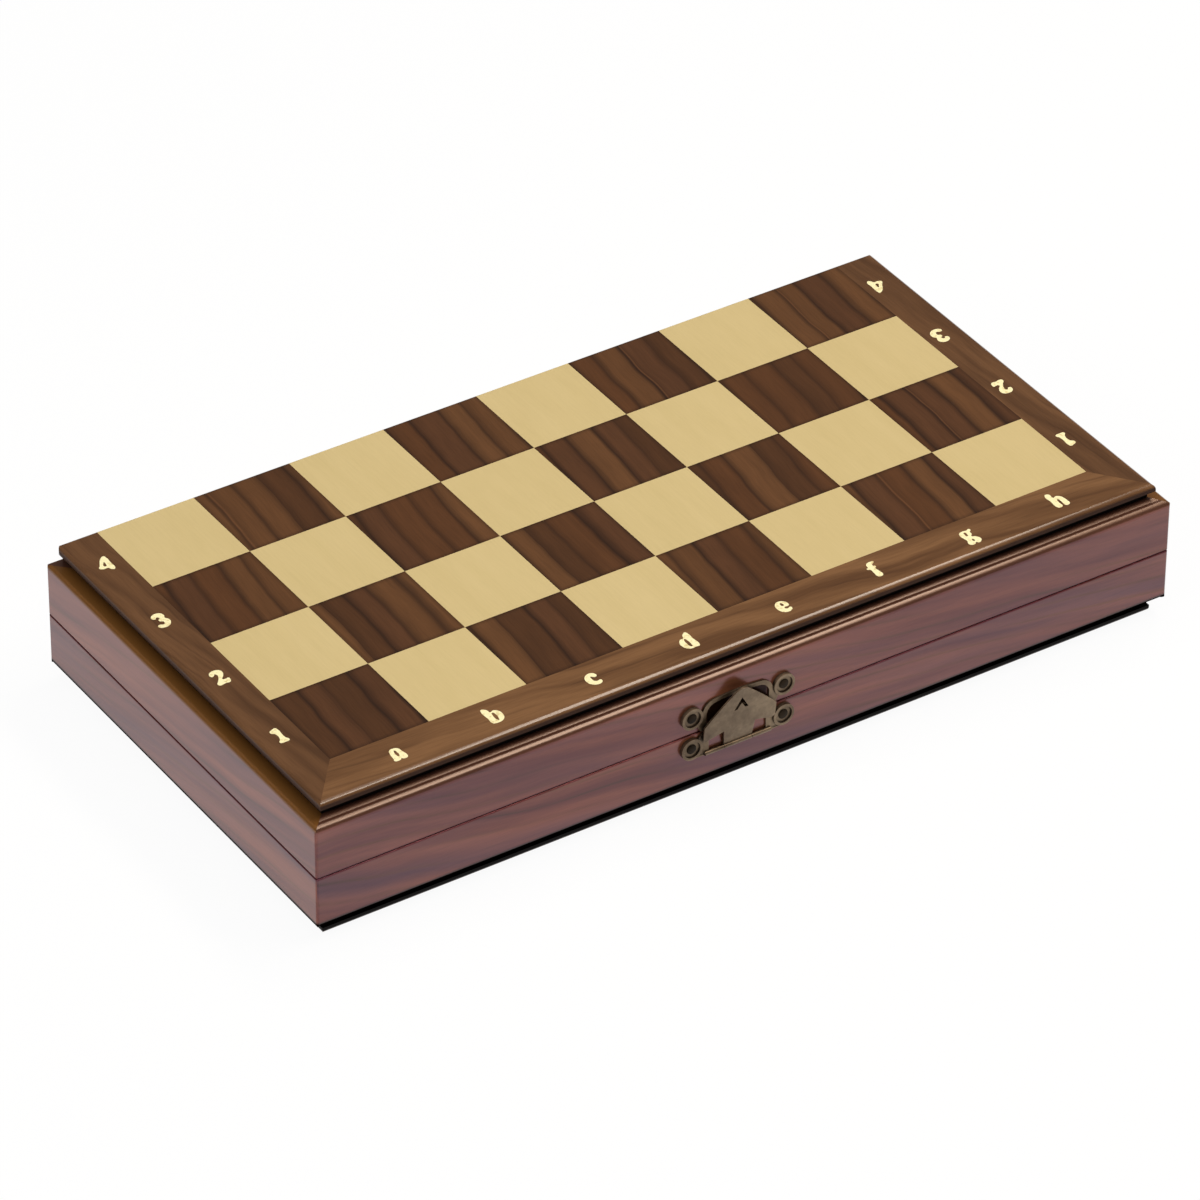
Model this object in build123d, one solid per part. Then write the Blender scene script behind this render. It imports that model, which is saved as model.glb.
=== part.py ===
from build123d import *

import os

# Folding chess box: two shallow trays joined by two butt hinges along the back and held by a
# small spring latch at the front.  Half of the board is the outer face of each tray, so the box
# opened flat shows all 64 squares on one side and the two trays on the other.
#
# All sizes are in millimetres.  X runs along the files (a to h), Y from the latch side to the
# hinge side, Z up.  The origin is the centre of the frame's footprint, on the surface that the
# closed box lies on.  The base is built below the hinge axis and the lid is its mirror image.

# ---- board ----------------------------------------------------------------------------------
square = 33.0
files = 8
ranks = 4                   # in each half
side_border = 13.5          # width of the walnut strips beside the squares
front_border = 16.8
board_thickness = 5.5
veneer = 0.6                # thickness of the squares
glue_line = 0.04            # between neighbouring squares
border_lip = 2.3            # height of the strip's overhanging edge
undercut = 2.0              # how far the strip is cut back under that edge
board_round = 1.6           # along the outer edge of the playing face
board_back_round = 0.8      # along its edge at the hinge side
board_corner = 2.0          # plan radius of the corners at the hinge side

# ---- frame ----------------------------------------------------------------------------------
wall = 10.0
frame_height = 17.5
side_ledge = 3.5            # the frame stands out past the board by this much
front_ledge = 3.2
front_round = 2.0           # along the front rail's ledge
side_round = 1.2            # along the side rails' ledges
bead_height = 0.5           # the front ledge rises by this much towards the board
bead_start, bead_end = 2.6, 3.8     # where it rises, from the outer face
bead_round = 0.9            # along both bends of that rise
rim_round = 0.4             # along the edges where the halves meet
frame_corner = 0.8          # plan radius of the four corners
closing_gap = 0.3           # between the closed rims, and between the backs when opened flat

# ---- felt lining ----------------------------------------------------------------------------
felt_thickness = 1.0
felt_margin = 0.3           # between the lining and the rails

# ---- hinges ---------------------------------------------------------------------------------
hinge_offset = 95.0         # from the middle of the box to the middle of each hinge
hinge_length = 26.0
leaf_width = 8.5            # from the hinge axis to the edge of the leaf
leaf_thickness = 1.0
knuckle_radius = 1.8
knuckle_count = 3           # two on the base leaf, one on the lid leaf
knuckle_gap = 0.15          # end play between knuckles
knuckle_relief = 0.3        # radial room around the barrel
pin_radius = 0.9
pin_fit = 0.02              # radial, in the base knuckles that hold the pin
pin_running = 0.05          # radial, in the lid knuckles that turn on it
mortise_fit = 0.05

# ---- hinge screws ---------------------------------------------------------------------------
screw_pitch = 16.0          # between the two screws of a leaf
screw_inset = 5.2           # from the hinge axis
screw_head_radius = 1.9
screw_shank_radius = 1.0
screw_length = 8.0
screw_fit = 0.03

# ---- latch ----------------------------------------------------------------------------------
latch_offset = -6.5         # the latch is nailed on a little left of the middle
sheet = 0.6                 # thickness of the latch stampings
ear_pitch = 32.0            # between the two nails of a plate
ear_radius = 3.6
ear_rim = 0.8               # width of the raised ring round an ear
ear_rim_height = 0.6
hook_ear_height = 6.25      # ears of the lid's hook plate, above the hinge axis
hook_top = 10.7             # top of the hook plate's arch
hook_bend = (7.7, 10.3)     # where the arch bends down, across and above the axis
hook_shoulder = (12.2, 6.6) # where it meets the ears
hook_corner = (0.7, 0.66)   # how square its corner is, across and up
hook_half_width = 12.8      # at its lower edge
hook_rim = 1.25             # width of the arch's band
hook_bar = 1.9              # height of the bar along its lower edge
hook_bottom = 0.3           # bottom edge of the hook plate
base_ear_drop = 4.7         # ears of the base plate, below the hinge axis
base_plate_top = 0.6        # its top edge, below the hinge axis
base_plate_bar = 1.4        # height of the bar that joins its two sides behind the lever
base_window = 10.0          # half the width of the opening below that bar

# ---- latch lever ----------------------------------------------------------------------------
latch_pin_drop = 8.0        # the pin that the lever turns on, below the hinge axis
latch_pin_radius = 0.35
latch_pin_fit = 0.02        # radial, in the base plate's knuckles
latch_pin_running = 0.05    # radial, in the lever's knuckle
latch_knuckle_radius = 0.7
latch_knuckle_clear = 0.1   # between the knuckles and the frame
latch_knuckle_gap = 0.15    # end play
latch_knuckle_end = 11.5    # outer end of the base plate's knuckles, from the middle
leg_half_width = 4.8        # the lever's leg, between the two windows
lever_half_width = 12.5
lever_corner = 3.6          # lower corners of the fan, below the hinge axis
lever_arch = 1.8            # height of the fan's lower edge beside the leg, below the axis
lever_shoulder = 2.0        # height where the sides turn in towards the tip
lever_tip = 12.6            # above the hinge axis
lever_tip_half_width = 1.9
lever_bulge = 0.15          # of the sides between shoulder and tip
lever_corner_round = 1.0
lever_rest = 0.3            # between the lever's back and the base plate
lever_flare = 2.9           # of the lever's back from the frame, at the tip
catch_height = 4.8          # underside of the lever's catch
catch_width = 2.8
catch_reach = 1.35          # from the frame to the tip of the catch
catch_slope = 2.1           # height of the pressed tab that forms the catch
catch_gap = 0.2             # between the catch and the hook plate's lip
piercing = 1.1              # width of the slit round that tab
lip_width = 5.0             # of the hook plate's tongue, with the lip along its top

# ---- latch nails ----------------------------------------------------------------------------
nail_head_radius = 1.6
nail_head_height = 0.65
nail_head_crown = 0.9       # radius of the top of the head
nail_shank_radius = 0.65
nail_length = 7.5
nail_fit = 0.03

# ---- worked out from the sizes above --------------------------------------------------------
squares_length = files * square
squares_depth = ranks * square
board_length = squares_length + 2 * side_border
length = board_length + 2 * side_ledge
depth = squares_depth + front_border + front_ledge
front = -depth / 2
back = depth / 2
board_front = front + front_ledge
squares_front = board_front + front_border
rim = board_thickness + frame_height
axis_z = rim + closing_gap / 2
axis_y = back + closing_gap / 2
leaf_top = rim
beyond = length             # longer than anything that it cuts


def rounded(outline, rounds):
    """This flat outline with the named corners of it rounded."""
    for corner, radius in rounds:
        outline = fillet(outline.vertices().sort_by_distance((*corner, 0))[0], radius)
    return outline


def bar(points, rounds, plane):
    """A long straight bar with this section, and with the named corners of it rounded."""
    section = rounded(Polygon(*points, align=None), rounds)
    return extrude(plane * section, amount=beyond, both=True)


def plan_prism(points, rounds=()):
    """Everything inside this outline, seen from above."""
    return extrude(rounded(Polygon(*points, align=None), rounds), amount=beyond, both=True)


def block(x, y, z):
    """A box between the given pairs of limits."""
    size = [limits[1] - limits[0] for limits in (x, y, z)]
    return Pos(x[0], y[0], z[0]) * Box(*size, align=(Align.MIN,) * 3)


def lid_of(shape):
    """The lid's copy of a piece of the base."""
    return mirror(shape, about=Plane.XY.offset(axis_z))


def only(shape):
    """The solids of a boolean's result, as one compound when there are several."""
    solids = shape.solids()
    return solids[0] if len(solids) == 1 else Compound(children=list(solids))


# ---- board: squares, core and border strips -------------------------------------------------
def board_field():
    """The board at full width up to its rounded edge at the hinge side."""
    points = [
        (board_front - wall, 0), (back, 0), (back, board_thickness),
        (board_front - wall, board_thickness),
    ]
    return bar(points, [((back, 0), board_back_round)], Plane.YZ)


def square_tile(column, row):
    x = -squares_length / 2 + column * square
    y = squares_front + row * square
    seam = glue_line / 2
    return block((x + seam, x + square - seam), (y + seam, y + square - seam), (0, veneer))


def squares(parity):
    """The veneer squares of one colour, trimmed to the rounded edge at the hinge side."""
    field = board_field()
    tiles = [
        only(field & square_tile(column, row))
        for column in range(files)
        for row in range(ranks)
        if (column + row) % 2 == parity
    ]
    return Compound(children=tiles)


def strip_section(outer, inner):
    """Section of a border strip: a rounded, overhanging edge on a set-back foot."""
    foot = outer + undercut
    points = [
        (inner, 0), (outer, 0), (outer, border_lip), (foot, border_lip),
        (foot, board_thickness), (inner, board_thickness),
    ]
    return points, [((outer, 0), board_round)]


def border_strips():
    """The left, right and front strips, mitred from the corner of the squares to the board's."""
    side, inner = board_length / 2, squares_length / 2
    corner = [(-side, board_front), (-inner, squares_front)]
    left = bar(*strip_section(-side, -inner), Plane.XZ)
    left &= plan_prism(
        [*corner, (-inner, back), (-side, back)], [((-side, back), board_corner)]
    )
    left = only(left & board_field())
    front_strip = bar(*strip_section(board_front, squares_front), Plane.YZ)
    front_strip &= plan_prism([*corner, (inner, squares_front), (side, board_front)])
    return left, mirror(left, about=Plane.YZ), only(front_strip)


def board_core():
    inner = squares_length / 2
    return only(
        board_field() & block((-inner, inner), (squares_front, back), (veneer, board_thickness))
    )


# ---- frame rails ----------------------------------------------------------------------------
def rail_section(outer, inner):
    """Section of a rail with both rim edges rounded and a plain edge at the board."""
    points = [(outer, board_thickness), (inner, board_thickness), (inner, rim), (outer, rim)]
    return points, [((inner, rim), rim_round), ((outer, rim), rim_round)]


def front_section():
    """Section of the front rail: a well rounded edge, and a ledge that rises to the board."""
    points, rounds = rail_section(front, front + wall)
    foot, top = board_front + undercut, board_thickness - bead_height
    rise = [(front + bead_start, board_thickness), (front + bead_end, top)]
    points[1:1] = [*rise, (foot, top), (foot, board_thickness)]
    rounds += [(corner, bead_round) for corner in rise]
    return points, [*rounds, ((front, board_thickness), front_round)]


def frame_rails():
    """Front, back, left and right rail, mitred at the corners."""
    side = length / 2
    inside, inside_front, inside_back = side - wall, front + wall, back - wall
    corners = plan_rounded()
    front_bar = bar(*front_section(), Plane.YZ)
    back_bar = bar(*rail_section(back, inside_back), Plane.YZ)
    points, rounds = rail_section(-side, -inside)
    left_bar = bar(points, [*rounds, ((-side, board_thickness), side_round)], Plane.XZ)

    front_rail = front_bar & corners & plan_prism(
        [(-side, front), (side, front), (inside, inside_front), (-inside, inside_front)]
    )
    back_rail = back_bar & corners & plan_prism(
        [(-side, back), (side, back), (inside, inside_back), (-inside, inside_back)]
    )
    left_rail = left_bar & corners & plan_prism(
        [(-side, front), (-inside, inside_front), (-inside, inside_back), (-side, back)]
    )
    return front_rail, back_rail, left_rail, mirror(left_rail, about=Plane.YZ)


def plan_rounded():
    return extrude(RectangleRounded(length, depth, frame_corner), amount=beyond, both=True)


def felt_lining():
    x = length / 2 - wall - felt_margin
    y = depth / 2 - wall - felt_margin
    return block((-x, x), (-y, y), (board_thickness, board_thickness + felt_thickness))


# ---- hinges ---------------------------------------------------------------------------------
def hinge_cylinder(x, radius, span):
    """A cylinder about the hinge axis, centred at x."""
    return Pos(x, axis_y, axis_z) * Rot(0, 90, 0) * Cylinder(radius, span)


def knuckle_middles(own_first):
    """Where the knuckles of one leaf lie, counted from the hinge's middle."""
    pitch = hinge_length / knuckle_count
    start = 0 if own_first else 1
    return [(index - (knuckle_count - 1) / 2) * pitch for index in range(start, knuckle_count, 2)]


def hinge_leaf(x, own_first, bore_fit):
    """One leaf in the base's place: a plate let into the rim, with its share of the barrel."""
    half = hinge_length / 2
    bottom = leaf_top - leaf_thickness
    knuckle = hinge_length / knuckle_count - knuckle_gap
    leaf = block(
        (x - half, x + half),
        (axis_y - leaf_width, axis_y - knuckle_radius - knuckle_relief),
        (bottom, leaf_top),
    )
    for middle in knuckle_middles(own_first):
        start, end = x + middle - knuckle / 2, x + middle + knuckle / 2
        leaf += block((start, end), (axis_y - leaf_width / 2, axis_y), (bottom, leaf_top))
        leaf += hinge_cylinder(x + middle, knuckle_radius, knuckle)
    leaf -= hinge_cylinder(x, pin_radius + bore_fit, 2 * hinge_length)
    for place in screw_places(x):
        leaf -= place * screw(screw_fit)
    return only(leaf)


def screw_places(x):
    return [Pos(x + side * screw_pitch / 2, axis_y - screw_inset, leaf_top) for side in (-1, 1)]


def screw(fit=0.0):
    """A countersunk screw that points down from z = 0, grown by fit for its hole.

    Its head fills the thickness of the leaf.
    """
    head, shank, end = screw_head_radius + fit, screw_shank_radius + fit, -screw_length - fit
    outline = Polygon(
        (0, 0), (head, 0), (shank, -leaf_thickness), (shank, end), (0, end), align=None
    )
    return revolve(Plane.XZ * outline, axis=Axis.Z)


def hinge_room(x):
    """What is cut from a back rail for one hinge: the leaf's mortise, the barrel and the screws."""
    half = hinge_length / 2 + mortise_fit
    room = block(
        (x - half, x + half),
        (axis_y - leaf_width - mortise_fit, back + wall),
        (leaf_top - leaf_thickness, rim + wall),
    )
    barrel = hinge_cylinder(x, knuckle_radius + knuckle_relief, hinge_length + 2 * knuckle_relief)
    for place in screw_places(x):
        room += place * screw(screw_fit)
    return room + barrel


def hinge_pin(x):
    return hinge_cylinder(x, pin_radius, hinge_length)


# ---- latch ----------------------------------------------------------------------------------
latch_plane = Plane(origin=(latch_offset, front, axis_z), x_dir=(1, 0, 0), z_dir=(0, -1, 0))
latch_side = Plane(origin=(latch_offset, front, axis_z), x_dir=(0, -1, 0), z_dir=(-1, 0, 0))


def mirrored_outline(right_side):
    """A closed face from the line that runs down its right side, from top middle to bottom."""
    return make_face(right_side + [mirror(edge, about=Plane.YZ) for edge in right_side])


def with_ears(outline, height):
    """A plate cut to this outline, with two round, rimmed and drilled ears at this height."""
    places = [Pos(side * ear_pitch / 2, height) for side in (-1, 1)]
    for place in places:
        outline += place * Circle(ear_radius)
    plate = extrude(latch_plane * outline, amount=sheet)
    ring = Circle(ear_radius) - Circle(ear_radius - ear_rim)
    for place in places:
        plate += extrude(latch_plane * (place * ring), amount=sheet + ear_rim_height)
        drill = place * Circle(nail_shank_radius + nail_fit)
        plate -= extrude(latch_plane * drill, amount=wall, both=True)
    return plate


def arch_line(inset):
    """Right half of the arch's edge, from its top middle, moved in by this much."""
    top = (0, hook_top - inset)
    bend = (hook_bend[0] - inset / 2, hook_bend[1] - inset)
    end = (hook_shoulder[0] - inset, hook_shoulder[1] - inset / 2)
    crown = (bend[0] / 2, top[1] - (top[1] - bend[1]) / 4)
    corner = (
        bend[0] + (end[0] - bend[0]) * hook_corner[0], end[1] + (bend[1] - end[1]) * hook_corner[1]
    )
    return [ThreePointArc(top, crown, bend), ThreePointArc(bend, corner, end)], end


def hook_plate():
    """The lid's plate: an open arch between two ears, and the tongue that the catch snaps over."""
    ear = (ear_pitch / 2, hook_ear_height)
    heel = (hook_half_width, hook_bottom)
    arch, shoulder = arch_line(0)
    outline = mirrored_outline(
        [*arch, Line(shoulder, ear), Line(ear, heel), Line(heel, (0, hook_bottom))]
    )
    arch, shoulder = arch_line(hook_rim)
    sill = hook_bottom + hook_bar
    opening = mirrored_outline(
        [*arch, Line(shoulder, (shoulder[0], sill)), Line((shoulder[0], sill), (0, sill))]
    )
    tongue_height = catch_height - catch_gap
    tongue = Polygon(
        (-lip_width / 2, hook_bottom), (lip_width / 2, hook_bottom),
        (lip_width / 2, tongue_height), (-lip_width / 2, tongue_height), align=None,
    )
    plate = with_ears(outline - opening + tongue, hook_ear_height)

    # The lip is flat on top, where the catch bears, and slopes below.
    reach = catch_reach - catch_gap
    top = catch_height - catch_gap
    lip = Polygon(
        (sheet / 2, top - 2 * reach), (reach, top - sheet / 2), (reach, top), (sheet / 2, top),
        align=None,
    )
    return only(plate + extrude(latch_side * lip, amount=lip_width / 2, both=True))


def base_plate():
    """The base's plate: two ears, a bar behind the lever and the knuckles below it."""
    bottom = -latch_pin_drop - latch_knuckle_radius
    top, bar_bottom = -base_plate_top, -base_plate_top - base_plate_bar
    ear_side = ear_pitch / 2
    sweep_start, sweep_end = (ear_side, -base_ear_drop - ear_radius), (lever_half_width, bottom)
    between = ((sweep_start[0] + sweep_end[0]) / 2, (sweep_start[1] + 2 * bottom) / 3)
    right = [
        Line((0, top), (ear_side - ear_radius, top)),
        Line((ear_side - ear_radius, top), (ear_side, -base_ear_drop)),
        Line((ear_side, -base_ear_drop), sweep_start),
        ThreePointArc(sweep_start, between, sweep_end),
        Line(sweep_end, (0, bottom)),
    ]
    window = Polygon(
        (-base_window, bar_bottom), (base_window, bar_bottom), (base_window, bottom - sheet),
        (-base_window, bottom - sheet), align=None,
    )
    plate = with_ears(mirrored_outline(right) - window, -base_ear_drop)
    inner = leg_half_width + latch_knuckle_gap
    span = latch_knuckle_end - inner
    for side in (-1, 1):
        plate += latch_cylinder(side * (inner + span / 2), latch_knuckle_radius, span)
    return only(plate - latch_cylinder(0, latch_pin_radius + latch_pin_fit, length))


def latch_cylinder(x, radius, span):
    """A cylinder about the lever's pin, centred this far from the middle of the latch."""
    out = latch_knuckle_clear + latch_knuckle_radius
    place = Pos(latch_offset + x, front - out, axis_z - latch_pin_drop)
    return place * Rot(0, 90, 0) * Cylinder(radius, span)


def lever_outline():
    """Front view of the fan with its leg."""
    tip = (lever_tip_half_width, lever_tip - sheet)
    shoulder = (lever_half_width, lever_shoulder)
    bulge = (
        (tip[0] + shoulder[0]) / 2 + lever_bulge, (tip[1] + shoulder[1]) / 2 + lever_bulge
    )
    corner = (lever_half_width, -lever_corner)
    arch = (leg_half_width + sheet, -lever_arch)
    foot = (leg_half_width, -latch_pin_drop)
    right = [
        ThreePointArc((0, lever_tip), (tip[0] / 2, lever_tip - sheet / 5), tip),
        ThreePointArc(tip, bulge, shoulder),
        Line(shoulder, corner),
        Line(corner, arch),
        Line(arch, foot),
        Line(foot, (0, -latch_pin_drop)),
    ]
    outline = mirrored_outline(right)
    corners = outline.vertices().filter_by(lambda v: abs(v.Y + lever_corner) < sheet / 2)
    return fillet(corners, lever_corner_round)


def tab_outline(margin):
    """Front view of the pressed tab, or of the tab with the slit round it."""
    half = catch_width / 2 + margin
    return Polygon(
        (-half, catch_height), (half, catch_height), (0, catch_height + catch_slope + 2 * margin),
        align=None,
    )


def lever_back(height):
    """How far the back of the fan stands from the frame at this height."""
    low, high = sheet + lever_rest, lever_flare
    return low + (high - low) * (height + lever_corner) / (lever_tip + sheet + lever_corner)


def lever():
    """The fan that a finger pulls outwards, turning on its pin, with the catch on its back."""
    heights = [-lever_corner, lever_shoulder, lever_tip + sheet]
    back_line = [(latch_knuckle_clear, -latch_pin_drop)]
    back_line += [(lever_back(height), height) for height in heights]
    front_line = [(out + sheet, height) for out, height in back_line]
    skin = make_face([
        Spline(*back_line), Line(back_line[-1], front_line[-1]),
        Spline(*front_line), Line(front_line[0], back_line[0]),
    ])
    curved = extrude(latch_side * skin, amount=ear_pitch, both=True)
    fan = curved & extrude(latch_plane * lever_outline(), amount=wall)
    tab = tab_outline(0)
    fan -= extrude(latch_plane * (tab_outline(piercing) - tab), amount=wall)

    # The tab inside the slit is thickened at the back, and its flat lower edge is the catch.
    catch_top = catch_height + catch_slope
    wedge = Polygon(
        (catch_reach, catch_height), (lever_back(catch_height) + sheet / 2, catch_height),
        (lever_back(catch_top) + sheet / 2, catch_top), align=None,
    )
    fan += extrude(latch_side * wedge, amount=catch_width, both=True) & extrude(
        latch_plane * tab, amount=wall
    )
    fan += latch_cylinder(0, latch_knuckle_radius, 2 * leg_half_width)
    return only(fan - latch_cylinder(0, latch_pin_radius + latch_pin_running, length))


def latch_pin():
    return latch_cylinder(0, latch_pin_radius, 2 * latch_knuckle_end)


def nail_places(height):
    return [
        latch_plane * Pos(side * ear_pitch / 2, height, sheet) for side in (-1, 1)
    ]


def nail(fit=0.0):
    """A round-headed nail that points down from z = 0, grown by fit for its hole."""
    shank, end = nail_shank_radius + fit, -nail_length - fit
    outline = Polygon(
        (0, nail_head_height), (nail_head_crown, nail_head_height), (nail_head_radius, 0),
        (shank, 0), (shank, end), (0, end), align=None,
    )
    return revolve(Plane.XZ * outline, axis=Axis.Z)


# ---- assembly -------------------------------------------------------------------------------
def build():
    nodes = {}
    strips = border_strips()
    core = board_core()
    felt = felt_lining()
    front_rail, back_rail, left_rail, right_rail = frame_rails()

    hinge_middles = {"left": -hinge_offset, "right": hinge_offset}
    for x in hinge_middles.values():
        back_rail -= hinge_room(x)
    base_nails = [place * nail() for place in nail_places(-base_ear_drop)]
    lid_nails = [place * nail() for place in nail_places(hook_ear_height)]
    base_front, lid_front = front_rail, lid_of(front_rail)
    for place in nail_places(-base_ear_drop):
        base_front -= place * nail(nail_fit)
    for place in nail_places(hook_ear_height):
        lid_front -= place * nail(nail_fit)

    for half, placed, dark in (("base", lambda shape: shape, 1), ("lid", lid_of, 0)):
        nodes[f"{half}_board_core"] = placed(core)
        nodes[f"{half}_dark_squares"] = placed(squares(dark))
        nodes[f"{half}_light_squares"] = placed(squares(1 - dark))
        for name, strip in zip(("left", "right", "front"), strips):
            nodes[f"{half}_border_{name}"] = placed(strip)
        nodes[f"{half}_back_rail"] = placed(only(back_rail))
        nodes[f"{half}_left_rail"] = placed(only(left_rail))
        nodes[f"{half}_right_rail"] = placed(only(right_rail))
        nodes[f"{half}_felt_lining"] = placed(felt)
        screws = [
            place * screw() for x in hinge_middles.values() for place in screw_places(x)
        ]
        nodes[f"{half}_hinge_screws"] = placed(Compound(children=screws))
    nodes["base_front_rail"] = only(base_front)
    nodes["lid_front_rail"] = only(lid_front)

    for name, x in hinge_middles.items():
        nodes[f"base_hinge_leaf_{name}"] = hinge_leaf(x, True, pin_fit)
        nodes[f"lid_hinge_leaf_{name}"] = lid_of(hinge_leaf(x, False, pin_running))
        nodes[f"hinge_pin_{name}"] = hinge_pin(x)

    nodes["latch_base_plate"] = base_plate()
    nodes["latch_lever"] = lever()
    nodes["latch_lever_pin"] = latch_pin()
    nodes["latch_hook_plate"] = hook_plate()
    nodes["latch_base_nails"] = Compound(children=base_nails)
    nodes["latch_lid_nails"] = Compound(children=lid_nails)
    return nodes


def write(nodes):
    os.makedirs("parts", exist_ok=True)
    for name, shape in nodes.items():
        export_step(shape, f"parts/{name}.step")
    print(len(nodes), "nodes,", sum(len(shape.solids()) for shape in nodes.values()), "solids")
    print("box", length, depth, 2 * axis_z, "hinge axis at", axis_y, axis_z)


write(build())
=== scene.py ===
"""Looks of the folding chess box: finishes of wood, felt and metal, stamped letters and
numbers, dressed screws, nails and linings, and the studio around it. Lengths are metres in the
part's own frame: x runs along the files from a to h, y from the latch to the hinges, z up."""

import math

import bpy
from mathutils import Matrix, Vector, noise


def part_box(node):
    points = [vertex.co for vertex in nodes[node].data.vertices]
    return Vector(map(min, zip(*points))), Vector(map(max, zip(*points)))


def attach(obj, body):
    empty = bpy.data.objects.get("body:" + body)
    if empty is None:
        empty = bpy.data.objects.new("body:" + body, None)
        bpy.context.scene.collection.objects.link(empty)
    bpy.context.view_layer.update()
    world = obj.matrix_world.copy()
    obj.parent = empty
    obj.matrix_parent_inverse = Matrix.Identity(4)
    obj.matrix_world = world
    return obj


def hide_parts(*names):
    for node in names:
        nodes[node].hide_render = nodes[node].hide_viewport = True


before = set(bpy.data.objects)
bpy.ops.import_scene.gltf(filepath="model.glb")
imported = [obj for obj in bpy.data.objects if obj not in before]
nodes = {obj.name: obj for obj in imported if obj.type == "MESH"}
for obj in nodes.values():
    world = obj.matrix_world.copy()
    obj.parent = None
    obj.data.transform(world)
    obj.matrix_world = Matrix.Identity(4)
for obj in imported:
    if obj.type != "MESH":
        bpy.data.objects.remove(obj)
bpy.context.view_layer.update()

MM = 0.001

# ---- sizes of the part, as the CAD source gives them -----------------------------------------
SQUARE = 33.0 * MM
SQUARES_LEFT = -132.0 * MM
SQUARES_FRONT = -56.0 * MM
RAILS_X = 149.0 * MM
RAILS_Y = 76.0 * MM
TOP = 46.3 * MM
SEAM = 23.15 * MM
LIP_HEIGHT = 2.3 * MM
LATCH_X = -6.5 * MM

# ---- colours, as sRGB values: a list of two is a dark and a light tone unless it says more ---
# Squares and border strips.
VENEER_BANDS = [(85, 54, 31), (95, 60, 34), (103, 68, 40), (108, 72, 43), (92, 59, 36)]
VENEER_LINE = (46, 27, 15)
VENEER_GLINT = (130, 86, 54)
MAPLE = [(211, 190, 136), (216, 195, 142)]
BORDER_FRONT = [(98, 66, 40), (130, 93, 60)]
BORDER_SIDE = [(84, 56, 34), (112, 78, 50)]
BORDER_STREAK = (62, 38, 22)
# Painted shade on the upright side of the lid's border lip.
LIP_SHADE_TONE = (62, 38, 25)
# Undersides and hidden edges, of strips and rails alike.
SHADE = (14, 9, 8)
# The rails: brown wood, and the tint of the lacquer's sheen over it.
RAIL_TONES = [(60, 35, 23), (122, 75, 47)]
RAIL_SHEEN = [(222, 82, 100), (255, 126, 130)]
SHEEN_COOL = (150, 84, 160)
SHEEN_STREAK = (80, 20, 30)
LEDGE_SHEEN = (190, 150, 118)
# Painted shade of the gap between the halves, on the rails' rims beside it.
SEAM_SHADE_TONE = (78, 36, 30)
# Painted shadow on the wood inside the arch of the latch's hook plate.
LATCH_SHADE_TONE = (9, 6, 3)
# These two hold a value for the rails at front and back, and then one for those at the sides.
# The ledge tones are partly the wood's own and partly painted light: darker and redder at the
# front and back, lighter and golden at the sides, as the light falls there.
LEDGE_TONES_AS_LIT = [(80, 49, 37), (114, 74, 33)]
RAIL_COATS = [0.68, 0.42]
# Letters, metals, lining, core board and floor.
LETTER = [(226, 206, 146), (255, 247, 196)]
BRONZE = [(94, 76, 58), (144, 124, 100)]
BRONZE_EDGE = (184, 158, 134)
NAIL = [(24, 17, 10), (58, 46, 33)]
PATINA = (26, 18, 11)
BRASS = [(150, 112, 52), (200, 162, 90)]
BRASS_EDGE = (232, 200, 130)
FELT = [(16, 42, 26), (30, 68, 42)]
FIBREBOARD = [(122, 92, 62), (152, 120, 86)]
WHITE = (255, 255, 255)
FLOOR_PAINT = (205, 205, 205)


def linear(rgb):
    """Linear colour with alpha from an sRGB triple of 0 to 255."""
    channels = []
    for value in rgb:
        c = value / 255
        channels.append(c / 12.92 if c <= 0.04045 else ((c + 0.055) / 1.055) ** 2.4)
    return (*channels, 1.0)


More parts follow.
